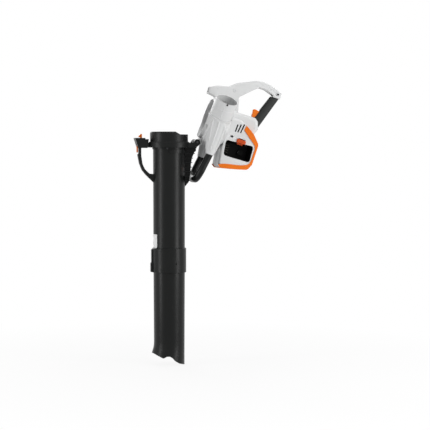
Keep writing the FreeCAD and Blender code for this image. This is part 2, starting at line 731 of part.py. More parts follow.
def rounded_housing(points, half, inset, round_radius, x_limit):
    face = Part.Face(rounded_wire(points, upright(-half + inset)))
    if inset:
        face = face.makeOffset2D(-inset)
    block = face.extrude(V(0, 2 * (half - inset), 0))
    side = half - inset
    return soften(block, round_radius - inset, lambda e: (lies_at(e, "y", -side) or lies_at(e, "y", side))
                  and e.BoundBox.ZMax > case_height + inset + 1 and e.BoundBox.XMax < x_limit)


def body_outer():
    box_part = rounded_housing(body_points(), body_half_width, 0, box_round, 300)
    cowl = rounded_housing(cowl_points(), cowl_half_width, 0, cowl_round, 29)
    return union([box_part, cowl])


def body_inner():
    box_part = rounded_housing(body_points(), body_half_width, body_wall, box_round, 300)
    cowl = rounded_housing(cowl_points(), cowl_half_width, body_wall, cowl_round, 26)
    return union([box_part, cowl])


def slot_points(inset):
    return [(63 + inset, 91 + inset, 9), (55 + inset, 206 - inset, 9), (122 - inset, 209.5 - inset, 11),
            (125 - inset, 99 + inset, 11)]


def vent_slots():
    slots = []
    for (x0, z0), (x1, z1) in (((-8, 118.2), (20.6, 116.8)), ((-12, 131), (19.7, 127.2)),
                               ((-16.8, 143.7), (19, 138.4))):
        length = math.hypot(x1 - x0, z1 - z0)
        along = V(x1 - x0, 0, z1 - z0) / length
        bar = box(0, length, -body_half_width - 5, -body_half_width + 20, -2.35, 2.35)
        bar.rotate(V(0, 0, 0), V(0, -1, 0), math.degrees(math.atan2(along.z, along.x)))
        slots.append(bar.translated(V(x0, 0, z0)))
    return slots


def grip_axis():
    angle = math.radians(grip_slope)
    return V(math.cos(angle), 0, -math.sin(angle))


def grip_point(distance):
    return V(eye_x, 0, eye_z) + grip_axis() * distance


def body_screw_places():
    return [(-46, 112), (-46, 171), (32, 192), (143, 112), (140, 186)]


def make_bodies(outer, case, keep_out):
    """Near and far half of the housing."""
    bosses = [rod(boss_radius, V(x, -body_half_width, z), AWAY, 2 * body_half_width).common(outer)
              for x, z in body_screw_places()]
    pegs = [rod(3, V(x, -body_half_width, z), AWAY, body_half_width - 42).common(outer)
            for x, z in ((-22, 176), (8, 182))]
    seat = box(32.5, 35.5, -body_half_width, -50, 146, 157).common(outer)
    shell = union([outer.cut(body_inner())] + bosses + pegs + [seat, make_chin(case)])
    shell = shell.cut(rod(motor_radius + 14, V(0, 0, case_height - 1), UP, body_wall + 2))
    shell = shell.cut(rod(13.5, grip_point(110), grip_axis(), 70)).cut(case)
    for piece in keep_out:
        shell = shell.cut(piece)
    near = shell.common(box(-300, 300, -200, 0, 0, 300))
    far = shell.common(box(-300, 300, 0, 200, 0, 300))
    mouth = prism_y(slot_points(0), -body_half_width - 5, -body_half_width + 20)
    spyhole = union([rod(4, V(43.6, -body_half_width - 5, 109.1 + shift), AWAY, 20) for shift in (-2, 0, 2)])
    window = box(41.2, 56.8, -body_half_width - 5, -body_half_width + 12, 136.7, 166.3)
    near = near.cut(mouth).cut(spyhole).cut(window)
    for slot in vent_slots():
        near = near.cut(slot)
        far = far.cut(slot.mirror(V(0, 0, 0), AWAY))
    return near, far


def make_trim(outer):
    """Bumper trim: a channel round the top and the free end of the housing."""
    shell = [(-15, 154, 0), (7, 190.5, 12), (38.5, 220, 10), (47, 223, 8), (127, 222, 12), (147, 212, 8),
             (153, 205, 8), (163, 168, 22), (173, 122.5, 8), (176.5, 103, 4), (166.5, 88.5, 1), (156, 114, 4),
             (143, 178, 26), (131, 208, 18), (112, 214, 10), (61, 214.5, 10), (50, 209, 12), (27, 178, 16),
             (4, 149, 2)]
    reach = body_half_width + trim_proud
    band = prism_y(shell, -reach, reach)
    core = prism_y(body_points(), -body_half_width + 8, body_half_width - 8)
    end = box(140, 200, -body_half_width + 1, body_half_width - 1, 70, 103)
    return band.cut(outer).cut(core).cut(end)


def bay_outer_points():
    return slot_points(-2.0)


def make_bay():
    front = -body_half_width + body_wall
    outer = prism_y(bay_outer_points(), front, front + bay_depth)
    inner = prism_y(slot_points(0.5), front - 1, front + bay_depth - 3)
    rails = []
    for z in (124.0, 174.0):
        rails.append(box(53, 63, front + 6, front + bay_depth - 6, z, z + 6))
        rails.append(box(119.5, 127, front + 6, front + bay_depth - 6, z, z + 6))
    shape = outer.cut(inner)
    rails = [rail.common(outer) for rail in rails]
    window = box(38, 70, front - 5, front + 22, 131.5, 171.5)
    plunger = rod(6.2, V(90, 0, 180), AWAY, 100)
    return union([shape] + rails).cut(window).cut(plunger)


def make_terminal_block():
    """Black block at the back of the bay that carries the contact blades."""
    back = -body_half_width + body_wall + bay_depth - 3
    block = box(70, 112, back - 10, back, 106, 134)
    ribs = [box(x, x + 2.4, back - 31, back - 10, 108, 132) for x in (71, 80.5, 90, 99.5, 109)]
    return union([block] + ribs).cut(union(make_terminals().Solids))


def make_terminals():
    back = -body_half_width + body_wall + bay_depth - 3
    return group([box(x, x + 1.2, back - 29, back - 3, 112, 128) for x in (76.3, 85.8, 95.3, 104.8)])


def make_ejector():
    back = -body_half_width + body_wall + bay_depth - 3
    pad = box(80, 100, back - 22, back - 18, 170, 190)
    stem = rod(6, V(90, back - 18, 180), AWAY, 21)
    return pad.fuse(stem).removeSplitter()


def make_lock():
    """Sliding lock beside the battery slot: a ribbed pad on the outside and a bolt in the bay."""
    face = -body_half_width
    pad = box(44.5, 59.5, face - 5, face - 0.3, 133, 170)
    pad = soften(pad, 1.6, lambda e: lies_at(e, "y", face - 5))
    grooves = union([box(x, x + 1.2, face - 6, face - 4.2, 137, 166) for x in (48, 51, 54)])
    neck = box(45.5, 56.5, face - 0.3, face + 9, 137, 166)
    bolt = box(46.5, 66, face + 9, face + 16, 140, 163)
    return union([pad.cut(grooves), neck, bolt])


def make_lock_spring():
    return coil(3.6, 1.1, 5, V(35.5, -body_half_width + 12.5, 151.5), RIGHT)


def make_ejector_spring():
    back = -body_half_width + body_wall + bay_depth - 3
    return coil(8, 1.3, 4, V(90, back - 5.2, 180), AWAY)


def make_controller():
    board = box(-30, 16, -42, -40, 164, 188)
    chips = [box(-26 + 14 * i, -15 + 14 * i, -40, -34, 168, 182) for i in range(3)]
    return union([board] + chips)


# Arm and grip

def arm_points():
    return [(-121, -28, 5), (-94, -28, 5), (-91, 0, 20), (-84, 30, 20), (-50, 60, 0), (-50, 113, 0),
            (-60, 113, 6), (-119, 98, 14), (-150, 131, 22), (-180, 163, 16), (-181, 192, 40), (-170, 229, 4),
            (-163, 229, 1), (-163, 262, 4), (-184, 260, 14), (-197, 238, 24), (-207, 200, 50), (-208, 172, 50),
            (-204, 146, 40), (-191, 117, 80), (-176.5, 86, 80), (-166, 67, 50), (-147, 47, 34), (-140, 21, 60),
            (-135, -1, 20)]


def arm_screw_places():
    return [(-108, 44), (-138, 74), (-192, 152), (-191, 215)]


def make_arms(case, body):
    solid = prism_y(arm_points(), -arm_half_width, arm_half_width)
    solid = soften(solid, 3.5, lambda e: (lies_at(e, "y", -arm_half_width) or lies_at(e, "y", arm_half_width))
                   and not (e.BoundBox.ZMin > 222 and e.BoundBox.XMax > -171))
    half = arm_half_width - arm_wall
    hollow = inner_prism_y(arm_points(), arm_wall, -half, half)
    nose = box(-140, -97.5, -half, half, -40, latch_z + 9)
    stop = box(-170, -60, -half, half, 22, 25)
    boss = [rod(9, V(eye_x, y, eye_z), AWAY, arm_wall + 3) for y in (-half, half - arm_wall - 3)]
    posts = [rod(boss_radius, V(x, -half, z), AWAY, 2 * half) for x, z in arm_screw_places()]
    shell = solid.cut(hollow).cut(nose)
    shell = union([shell, stop.common(solid)] + [piece.common(solid) for piece in boss + posts])
    x, z = arm_screw_places()[1]
    shell = shell.fuse(pipe(7.5, 4.5, V(x, -arm_half_width - 1.2, z), AWAY, 2)).removeSplitter()
    gap = box(-196, -150, -13.2, 13.2, eye_z - 22, eye_z + 12)
    shell = shell.cut(gap.rotated(V(eye_x, 0, eye_z), AWAY, grip_slope))
    shell = shell.cut(rod(eye_bolt_radius + 0.02, V(eye_x, -60, eye_z), AWAY, 120))
    shell = shell.cut(rod(bar_radius, V(bar_x, -60, bar_z), AWAY, 120))
    shell = shell.cut(case).cut(body)
    near = shell.common(box(-300, 0, -100, 0, -60, 300))
    far = shell.common(box(-300, 0, 0, 100, -60, 300))
    return near, far


def make_latch_bar():
    return rod(bar_radius, V(bar_x, -arm_half_width, bar_z), AWAY, 2 * arm_half_width)


def make_eye_bolt():
    start = V(eye_x, -arm_half_width, eye_z)
    return screw(start, AWAY, 6, eye_bolt_radius, 2 * arm_half_width)


def make_eye_nut():
    nut = rod(6, V(eye_x, arm_half_width, eye_z), AWAY, 4)
    return nut.cut(rod(eye_bolt_radius, V(eye_x, 0, eye_z), AWAY, 60))


def grip_section(distance, radius):
    centre = grip_point(distance)
    up = V(math.sin(math.radians(grip_slope)), 0, math.cos(math.radians(grip_slope)))
    curve = Part.Ellipse(centre + up * radius, centre + AWAY * radius * 0.88, centre)
    return Part.Wire([curve.toShape()])


def grip_solid(inset):
    return Part.makeLoft([grip_section(0, grip_start_radius - inset),
                          grip_section(grip_length, grip_end_radius - inset)], True)


def trigger_pocket():
    half = trigger_half_width + 1
    return prism_y([(-98, 150, 0), (-98, 222, 3), (-58, 216, 3), (-58, 150, 0)], -half, half)


def make_grip(body):
    start = box(-163 + 0.02, 100, -60, 60, 100, 300)
    sleeve = grip_solid(0).cut(grip_solid(sleeve_rubber)).common(start).cut(body).cut(trigger_pocket())
    core = grip_solid(sleeve_rubber).common(start)
    hollow = grip_solid(sleeve_rubber + grip_core_wall).common(box(-152, 100, -60, 60, 100, 300))
    tongue = box(-12, 24, -13, 13, -11.5, 11.5).rotated(V(0, 0, 0), AWAY, grip_slope).translated(V(eye_x, 0, eye_z))
    tongue = tongue.cut(start)
    hollow = hollow.cut(rod(40, grip_point(57), grip_axis(), 3))
    core = core.cut(body)
    foot = pipe(13.5, 10, grip_point(126), grip_axis(), 34)
    core = union([core.cut(hollow), tongue, foot])
    core = core.cut(rod(eye_bolt_radius + 0.02, V(eye_x, -60, eye_z), AWAY, 120)).cut(trigger_pocket())
    core = core.cut(rod(trigger_pin_radius, V(trigger_pin_x, -60, trigger_pin_z), AWAY, 120))
    return sleeve, core


def make_trigger():
    outline = [(-94.5, 171, 5), (-62, 173, 5), (-62, 206, 3), (-87, 212, 4), (-90.5, 197, 10), (-94, 184, 10)]
    blade = prism_y(outline, -trigger_half_width, trigger_half_width)
    blade = soften(blade, 2, lambda e: (lies_at(e, "y", -trigger_half_width) or lies_at(e, "y", trigger_half_width))
                   and e.BoundBox.ZMax < 200)
    return blade.cut(rod(trigger_pin_radius + pin_gap, V(trigger_pin_x, -60, trigger_pin_z), AWAY, 120))


def make_trigger_pin():
    half = 14.0
    return rod(trigger_pin_radius, V(trigger_pin_x, -half, trigger_pin_z), AWAY, 2 * half)


def make_switch():
    body = box(-12, 8, -7, 7, -7, 7).rotated(V(0, 0, 0), AWAY, grip_slope).translated(grip_point(72))
    leaf = box(-110, -84, -2.5, 2.5, 217.4, 218)
    return body.fuse(leaf).removeSplitter()


def make_trigger_spring():
    return coil(3.2, 0.9, 3, V(trigger_pin_x, trigger_half_width + 0.3, trigger_pin_z), AWAY)


def make_front_loop():
    """Round bar bent to a U, in a plane that drops away from the housing."""
    r = loop_corner
    h = loop_half_width
    s = 1 / math.sqrt(2)
    start_near = V(socket_x - socket_depth, -h, 0)
    start_far = V(far_socket_x - socket_depth, h, 0)
    end = loop_end_x
    path = Part.Wire([
        Part.LineSegment(start_near, V(end - r, -h, 0)).toShape(),
        Part.Arc(V(end - r, -h, 0), V(end - r + r * s, -h + r - r * s, 0), V(end, -h + r, 0)).toShape(),
        Part.LineSegment(V(end, -h + r, 0), V(end, h - r, 0)).toShape(),
        Part.Arc(V(end, h - r, 0), V(end - r + r * s, h - r + r * s, 0), V(end - r, h, 0)).toShape(),
        Part.LineSegment(V(end - r, h, 0), start_far).toShape()])
    section = Part.Wire([Part.Circle(start_near, RIGHT, loop_radius).toShape()])
    loop = path.makePipeShell([section], True, False)
    loop = loop.rotated(V(socket_x, 0, 0), AWAY, loop_drop)
    return loop.translated(V(0, 0, socket_z))


def case_screw_places():
    places = []
    for turn, reach in ((135, 94.5), (110, 93), (160, 96)):
        angle = math.radians(turn)
        places.append(V(reach * math.cos(angle), reach * math.sin(angle), 0))
    return places


def leg_screw_seats():
    """Where a screw enters each shoulder from below, on its way into the loop's leg."""
    seats = []
    for side, x_end in ((-1, socket_x), (1, far_socket_x)):
        x = x_end - 12
        seats.append(V(x, side * loop_half_width, loop_z(x) - loop_radius - 3))
    return seats


def case_lugs():
    return [rod(6, place + V(0, 0, split_z - 9), UP, 18) for place in case_screw_places()]


def make_case_screws():
    lugs = [screw(place + V(0, 0, split_z - 9), UP, 3.6, 1.8, 16) for place in case_screw_places()]
    return group(lugs + [screw(seat, UP, 3.6, 1.8, 16) for seat in leg_screw_seats()])


def leg_counterbores():
    return [rod(4.2, seat - V(0, 0, 12), UP, 12) for seat in leg_screw_seats()]


def make_housing_screws():
    """Screws that join the two halves of the housing and of the arm, put in from the far side."""
    screws = []
    for x, z in body_screw_places():
        depth = cowl_half_width if x < -30 else body_half_width
        screws.append(screw(V(x, depth - 8, z), V(0, -1, 0), 3.6, 1.8, depth + 12))
    for i, (x, z) in enumerate(arm_screw_places()):
        if i == 1:
            screws.append(screw(V(x, -arm_half_width + 1, z), AWAY, 3.6, 1.8, arm_half_width + 9))
        else:
            screws.append(screw(V(x, arm_half_width - 3, z), V(0, -1, 0), 3.6, 1.8, arm_half_width + 9))
    return group(screws)


def housing_counterbores():
    cuts = []
    for x, z in body_screw_places():
        depth = cowl_half_width if x < -30 else body_half_width
        cuts.append(rod(4, V(x, depth - 8, z), AWAY, 30))
    for i, (x, z) in enumerate(arm_screw_places()):
        if i == 1:
            cuts.append(rod(4, V(x, -arm_half_width + 1, z), V(0, -1, 0), 10))
        else:
            cuts.append(rod(4, V(x, arm_half_width - 3, z), AWAY, 30))
    return cuts


def drill(pieces, names, tools):
    for name in names:
        for tool in tools:
            pieces[name] = pieces[name].cut(tool)


def build():
    tube = {
        "upper_tube": make_upper_tube(),
        "lower_tube": make_lower_tube(),
        "tube_flange": make_tube_flange(),
        "tube_loop": make_tube_loop(),
        "tube_gusset": make_tube_gusset(),
        "tube_screws": make_tube_screws(),
        "latch_pocket": make_latch_pocket(),
        "latch_lever": make_latch_lever(),
        "latch_pin": make_latch_pin(),
        "latch_spring": make_latch_spring(),
        "intake_seal": make_intake_seal(),
        "hinge_pin": rod(hinge_pin_radius, V(hinge_x, -hinge_half_width - 2, hinge_z), AWAY,
                         2 * hinge_half_width + 4),
    }
    case = case_outer()
    body = body_outer()
    lower, upper = make_case(case)
    shoulder_near, shoulder_far = make_shoulders(case)
    loop = make_front_loop()
    near, far = make_bodies(body, case, [shoulder_near, shoulder_far, loop])
    arm_near, arm_far = make_arms(case, body)
    sleeve, core = make_grip(body)
    head = {
        "case_lower": lower,
        "case_upper": upper,
        "shoulder_near": shoulder_near,
        "shoulder_far": shoulder_far,
        "outlet_spout": make_spout(case, body),
        "motor_mount": make_motor_mount(),
        "motor_cap": make_motor_cap(),
        "motor_stator": make_stator(),
        "motor_screws": make_motor_screws(),
        "lower_bearing": bearing(case_height + 1),
        "upper_bearing": bearing(motor_low + motor_height),
        "rotor_shaft": make_shaft(),
        "fan_wheel": make_fan(),
        "shredder_knife": make_knife(),
        "knife_nut": make_nut(),
        "cooling_fan": make_cooling_fan(),
        "body_near": near,
        "body_far": far,
        "bumper_trim": make_trim(body),
        "battery_bay": make_bay(),
        "terminal_block": make_terminal_block(),
        "battery_terminals": make_terminals(),
        "battery_ejector": make_ejector(),
        "battery_lock": make_lock(),
        "lock_spring": make_lock_spring(),
        "ejector_spring": make_ejector_spring(),
        "control_module": make_controller(),
        "arm_near": arm_near,
        "arm_far": arm_far,
        "latch_bar": make_latch_bar(),
        "eye_bolt": make_eye_bolt(),
        "eye_nut": make_eye_nut(),
        "grip_core": core,
        "grip_sleeve": sleeve,
        "trigger": make_trigger(),
        "trigger_pin": make_trigger_pin(),
        "trigger_spring": make_trigger_spring(),
        "trigger_switch": make_switch(),
        "front_loop": loop,
    }
    drill(tube, ("tube_flange", "upper_tube"), tube["tube_screws"].Solids)
    drill(head, ("case_lower", "case_upper"), make_case_screws().Solids[:3])
    drill(head, ("shoulder_near", "shoulder_far", "front_loop"), make_case_screws().Solids[3:] + leg_counterbores())
    head["case_screws"] = make_case_screws()
    drill(head, ("motor_mount", "case_upper"), head["motor_screws"].Solids)
    drill(head, ("body_near", "body_far", "arm_near", "arm_far"),
          make_housing_screws().Solids + housing_counterbores())
    head["housing_screws"] = make_housing_screws()
    hinge = V(hinge_x, 0, hinge_z)
    for name, shape in head.items():
        tube[name] = shape.rotated(hinge, AWAY, open_angle)
    return tube


parts = build()
os.makedirs("parts", exist_ok=True)
for name, shape in parts.items():
    good = shape.isValid() and all(s.isValid() for s in shape.Solids)
    print(name, len(shape.Solids), "solids", round(shape.Volume / 1000, 1), "cm3", "valid" if good else "INVALID")
    shape.exportStep("parts/" + name + ".step")
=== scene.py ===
import json
import math

import bmesh
import bpy
from mathutils import Matrix, Vector
from mathutils.bvhtree import BVHTree

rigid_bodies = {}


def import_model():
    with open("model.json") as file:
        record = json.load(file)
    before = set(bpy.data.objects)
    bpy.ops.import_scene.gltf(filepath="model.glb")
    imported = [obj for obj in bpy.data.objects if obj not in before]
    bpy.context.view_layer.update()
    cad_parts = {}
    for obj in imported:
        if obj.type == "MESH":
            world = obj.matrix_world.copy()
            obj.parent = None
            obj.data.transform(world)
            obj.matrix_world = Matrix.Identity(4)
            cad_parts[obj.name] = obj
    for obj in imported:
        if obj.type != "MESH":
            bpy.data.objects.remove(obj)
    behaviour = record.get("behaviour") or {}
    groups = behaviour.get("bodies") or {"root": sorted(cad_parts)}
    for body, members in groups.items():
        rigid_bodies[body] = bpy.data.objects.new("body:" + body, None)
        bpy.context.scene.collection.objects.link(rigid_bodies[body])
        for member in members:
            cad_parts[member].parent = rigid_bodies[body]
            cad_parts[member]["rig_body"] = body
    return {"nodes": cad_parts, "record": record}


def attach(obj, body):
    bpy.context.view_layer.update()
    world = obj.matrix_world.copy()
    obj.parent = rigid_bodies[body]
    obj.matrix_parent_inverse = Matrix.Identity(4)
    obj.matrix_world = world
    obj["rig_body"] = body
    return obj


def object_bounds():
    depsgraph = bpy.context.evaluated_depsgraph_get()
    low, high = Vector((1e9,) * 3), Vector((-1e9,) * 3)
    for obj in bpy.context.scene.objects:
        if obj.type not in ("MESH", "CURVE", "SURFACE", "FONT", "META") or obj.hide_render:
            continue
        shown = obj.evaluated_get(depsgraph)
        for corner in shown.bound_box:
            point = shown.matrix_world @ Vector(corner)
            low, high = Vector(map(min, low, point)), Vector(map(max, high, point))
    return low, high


# Leaf vacuum shredder, its head swung open beside the suction tube.
# Metres, in the same frame as the solids.

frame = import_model()
nodes = frame["nodes"]
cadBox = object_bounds()
print("frame loaded:", len(nodes), "nodes")


# Camera, floor, world and lamps

cameraSettings = {
    "azimuth": -11.0,
    "elevation": 2.5,
    "distance": 6.0,
    "width": 1.72,          # metres across the picture at the tube
    "points": 430,          # picture points across
    "rightOfTube": 0.184,   # picture centre from the tube's axis
    "aboveSeat": -0.304,    # picture centre from the seat of the head
    "sensor": 36,
    "farEnd": 100,
}


def cameraAxes(s):
    a = math.radians(s["azimuth"])
    e = math.radians(s["elevation"])
    back = Vector((math.sin(a) * math.cos(e), -math.cos(a) * math.cos(e), math.sin(e)))
    right = Vector((math.cos(a), math.sin(a), 0))
    up = back.cross(right)
    target = right * s["rightOfTube"] + up * s["aboveSeat"]
    return right, up, back, target


def makeCamera(s):
    right, up, back, target = cameraAxes(s)
    data = bpy.data.cameras.new("camera")
    data.sensor_width = s["sensor"]
    data.lens = s["sensor"] * s["distance"] / s["width"]
    data.clip_end = s["farEnd"]
    camera = bpy.data.objects.new("camera", data)
    turn = Matrix((right, up, back)).transposed().to_4x4()
    camera.matrix_world = Matrix.Translation(target + back * s["distance"]) @ turn
    bpy.context.scene.collection.objects.link(camera)
    bpy.context.scene.camera = camera


def pictureRay(s, point):
    right, up, back, target = cameraAxes(s)
    step = s["width"] / s["points"]
    centre = s["points"] / 2
    eye = target + back * s["distance"]
    spot = target + right * (point[0] - centre) * step + up * (centre - point[1]) * step
    return eye, (spot - eye).normalized()


def newGroup(name, inputs, outputs):
    group = bpy.data.node_groups.new(name, "ShaderNodeTree")
    for label, kind, value in inputs:
        socket = group.interface.new_socket(label, in_out="INPUT", socket_type=kind)
        socket.default_value = value
    for label, kind in outputs:
        group.interface.new_socket(label, in_out="OUTPUT", socket_type=kind)
    return group, group.nodes.new("NodeGroupInput"), group.nodes.new("NodeGroupOutput")


def feed(tree, socket, value):
    if isinstance(value, (int, float, tuple)):
        socket.default_value = value
    else:
        tree.links.new(value, socket)


def mathNode(tree, operation, a, b):
    node = tree.nodes.new("ShaderNodeMath")
    node.operation = operation
    feed(tree, node.inputs[0], a)
    feed(tree, node.inputs[1], b)
    return node.outputs[0]


def plus(tree, a, b):
    return mathNode(tree, "ADD", a, b)


def minus(tree, a, b):
    return mathNode(tree, "SUBTRACT", a, b)


def times(tree, a, b):
    return mathNode(tree, "MULTIPLY", a, b)


def objectPlace(tree):
    return tree.nodes.new("ShaderNodeTexCoord").outputs["Object"]


def mapped(tree, vector, scale, turn=(0, 0, 0)):
    node = tree.nodes.new("ShaderNodeMapping")
    node.inputs["Rotation"].default_value = turn
    node.inputs["Scale"].default_value = scale
    tree.links.new(vector, node.inputs["Vector"])
    return node.outputs[0]


def noiseNode(tree, vector, scale, detail):
    node = tree.nodes.new("ShaderNodeTexNoise")
    node.inputs["Detail"].default_value = detail
    tree.links.new(vector, node.inputs["Vector"])
    feed(tree, node.inputs["Scale"], scale)
    return node.outputs["Fac"]


def mixColour(tree, factor, a, b, blend="MIX"):
    node = tree.nodes.new("ShaderNodeMix")
    node.data_type = "RGBA"
    node.blend_type = blend
    for place, value in ((0, factor), (6, a), (7, b)):      # the sockets of a colour mix
        feed(tree, node.inputs[place], value)
    return node.outputs[2]


def mixShaders(tree, share, first, second, output):
    mix = tree.nodes.new("ShaderNodeMixShader")
    for socket, value in zip(mix.inputs, (share, first.outputs[0], second.outputs[0])):
        tree.links.new(value, socket)
    tree.links.new(mix.outputs[0], tree.nodes[output].inputs[0])


# True for rays that see the backdrop itself, so it stays white without lighting the object

def seenShare(tree):
    path = tree.nodes.new("ShaderNodeLightPath")
    first = mathNode(tree, "MAXIMUM", path.outputs["Is Camera Ray"], path.outputs["Is Glossy Ray"])
    return mathNode(tree, "MAXIMUM", first, path.outputs["Is Transmission Ray"])


stageSettings = {
    "size": 12.0,
    "colour": (0.6, 0.6, 0.6),
    "roughness": 0.9,
    "paperShare": (0.9, 1.0),   # share of white paper over the floor's own shading, near and far
    "fade": (0.35, 1.5),        # metres from the tube's axis between which that share grows
}


def makeStage(s):
    bm = bmesh.new()
    bmesh.ops.create_grid(bm, x_segments=1, y_segments=1, size=s["size"])
    bmesh.ops.translate(bm, vec=(0, 0, cadBox[0][2]), verts=bm.verts)
    mesh = bpy.data.meshes.new("floor")
    bm.to_mesh(mesh)
    bm.free()
    floor = bpy.data.objects.new("floor", mesh)
    bpy.context.scene.collection.objects.link(floor)
    material = bpy.data.materials.new("floorPaper")
    material.use_nodes = True
    tree = material.node_tree
    shader = tree.nodes["Principled BSDF"]
    shader.inputs["Base Color"].default_value = (*s["colour"], 1)
    shader.inputs["Roughness"].default_value = s["roughness"]
    glow = tree.nodes.new("ShaderNodeEmission")
    glow.inputs["Strength"].default_value = 1
    reach = tree.nodes.new("ShaderNodeVectorMath")
    reach.operation = "LENGTH"
    tree.links.new(mapped(tree, objectPlace(tree), (1, 1, 0)), reach.inputs[0])
    fade = tree.nodes.new("ShaderNodeMapRange")
    fade.inputs["From Min"].default_value, fade.inputs["From Max"].default_value = s["fade"]
    fade.inputs["To Min"].default_value, fade.inputs["To Max"].default_value = s["paperShare"]
    tree.links.new(reach.outputs["Value"], fade.inputs["Value"])
    mixShaders(tree, times(tree, seenShare(tree), fade.outputs[0]), shader, glow, "Material Output")
    mesh.materials.append(material)


worldSettings = {"soft": 0.22, "seen": 1}


def makeWorld(s):
    world = bpy.data.worlds.new("studio")
    bpy.context.scene.world = world
    world.use_nodes = True
    tree = world.node_tree
    soft = tree.nodes["Background"]
    white = tree.nodes.new("ShaderNodeBackground")
    for node, strength in ((soft, s["soft"]), (white, s["seen"])):
        node.inputs["Color"].default_value = (1, 1, 1, 1)
        node.inputs["Strength"].default_value = strength
    mixShaders(tree, seenShare(tree), soft, white, "World Output")


lampSettings = {
    "leftBox": {"place": (-1.83, -0.52, 0.0), "aim": (0, 0, 0), "size": (0.40, 1.82), "power": 20},
    "rightBox": {"place": (1.48, -1.20, 0.0), "aim": (0, 0, 0), "size": (0.62, 1.82), "power": 23},
    "key": {"place": (1.0, -2.6, 2.6), "aim": (0.1, 0, -0.1), "size": (1.7, 1.7), "power": 34},
    "top": {"place": (0.3, 0.2, 2.8), "aim": (0.1, 0, 0), "size": (1.6, 1.6), "power": 34},
    "back": {"place": (-0.6, 2.9, 1.3), "aim": (0.1, 0, -0.2), "size": (1.8, 1.8), "power": 40},
}


def makeLamp(name, s):
    data = bpy.data.lights.new(name, "AREA")
    data.shape = "RECTANGLE"
    data.size, data.size_y = s["size"]
    data.energy = s["power"]
    lamp = bpy.data.objects.new(name, data)
    lamp.visible_camera = False
    lamp.location = s["place"]
    aim = Vector(s["aim"]) - Vector(s["place"])
    lamp.rotation_euler = aim.to_track_quat("-Z", "Y").to_euler()
    bpy.context.scene.collection.objects.link(lamp)


makeCamera(cameraSettings)
makeStage(stageSettings)
makeWorld(worldSettings)
for lampName, lampValues in lampSettings.items():
    makeLamp(lampName, lampValues)
bpy.context.scene.view_settings.view_transform = "Standard"
print("stage ready")


# Finishes: shared skins that give a colour, a roughness and a height

skinOutputs = [("Colour", "NodeSocketColor"), ("Roughness", "NodeSocketFloat"),
               ("Height", "NodeSocketFloat")]


def shaded(tree, colour, tone):
    grey = tree.nodes.new("ShaderNodeCombineColor")
    for socket in grey.inputs[:3]:
        tree.links.new(tone, socket)
    return mixColour(tree, 1.0, colour, grey.outputs[0], "MULTIPLY")


def leaveSkin(tree, leave, *values):
    for (label, _), value in zip(skinOutputs, values):
        tree.links.new(value, leave.inputs[label])


mouldedSettings = {
    "grainDetail": 3,
    "flow": (9.0, 4),               # scale and detail of the slow change of tone
    "hair": (1.0, 1),
    "hairTurn": (0.4, 0.7, 0.3),
    "hairStretch": (900, 40, 26),   # hairline scratches are noise drawn out along one way
    "patch": (16.0, 2),
    "patchShare": 0.25,
    "markFrom": 0.86,
    "markTone": 0.35,
    "markColour": (0.6, 0.6, 0.6, 1),
    "flowDull": 0.8,
    "markDull": 0.1,
    "markDepth": 0.4,
}


def buildMouldedSkin(s):
    group, come, leave = newGroup("mouldedSkin", [
        ("Colour", "NodeSocketColor", (0.5, 0.5, 0.5, 1)),
        ("Roughness", "NodeSocketFloat", 0.45),
        ("Grain Scale", "NodeSocketFloat", 900.0),
        ("Mottle", "NodeSocketFloat", 0.06),
        ("Scratches", "NodeSocketFloat", 0.1)], skinOutputs)
    place = objectPlace(group)
    grain = noiseNode(group, place, come.outputs["Grain Scale"], s["grainDetail"])
    flow = noiseNode(group, place, *s["flow"])
    hair = noiseNode(group, mapped(group, place, s["hairStretch"], s["hairTurn"]), *s["hair"])
    patch = times(group, noiseNode(group, place, *s["patch"]), s["patchShare"])
    mark = mathNode(group, "GREATER_THAN", plus(group, hair, patch), s["markFrom"])
    mark = times(group, mark, come.outputs["Scratches"])
    swing = times(group, minus(group, flow, 0.5), come.outputs["Mottle"])
    tinted = shaded(group, come.outputs["Colour"], plus(group, 1.0, swing))
    worn = mixColour(group, times(group, mark, s["markTone"]), tinted, s["markColour"])
    dull = plus(group, come.outputs["Roughness"], times(group, swing, s["flowDull"]))
    dull = plus(group, dull, times(group, mark, s["markDull"]))
    height = minus(group, grain, times(group, mark, s["markDepth"]))
    leaveSkin(group, leave, worn, dull, height)
    return group


pebbleSettings = {"spread": 0.55, "cloud": (14.0, 3), "tone": (0.88, 0.24), "cloudDull": 0.12}


def buildPebbleSkin(s):
    group, come, leave = newGroup("pebbleSkin", [
        ("Colour", "NodeSocketColor", (0.05, 0.05, 0.05, 1)),
        ("Roughness", "NodeSocketFloat", 0.7),
        ("Pebble Scale", "NodeSocketFloat", 520.0)], skinOutputs)
    place = objectPlace(group)
    cells = group.nodes.new("ShaderNodeTexVoronoi")
    cells.inputs["Randomness"].default_value = s["spread"]
    group.links.new(place, cells.inputs["Vector"])
    group.links.new(come.outputs["Pebble Scale"], cells.inputs["Scale"])
    cloud = noiseNode(group, place, *s["cloud"])
    low, swing = s["tone"]
    rubbed = plus(group, low, times(group, cloud, swing))
    dull = minus(group, come.outputs["Roughness"], times(group, cloud, s["cloudDull"]))
    leaveSkin(group, leave, shaded(group, come.outputs["Colour"], rubbed), dull,
              minus(group, 1.0, cells.outputs["Distance"]))
    return group


turnedSettings = {"stretch": (0.08, 0.08, 1.0), "lineDetail": 2, "cloud": (60.0, 3), "tone": (0.9, 0.2),
                  "lineDull": 0.12}


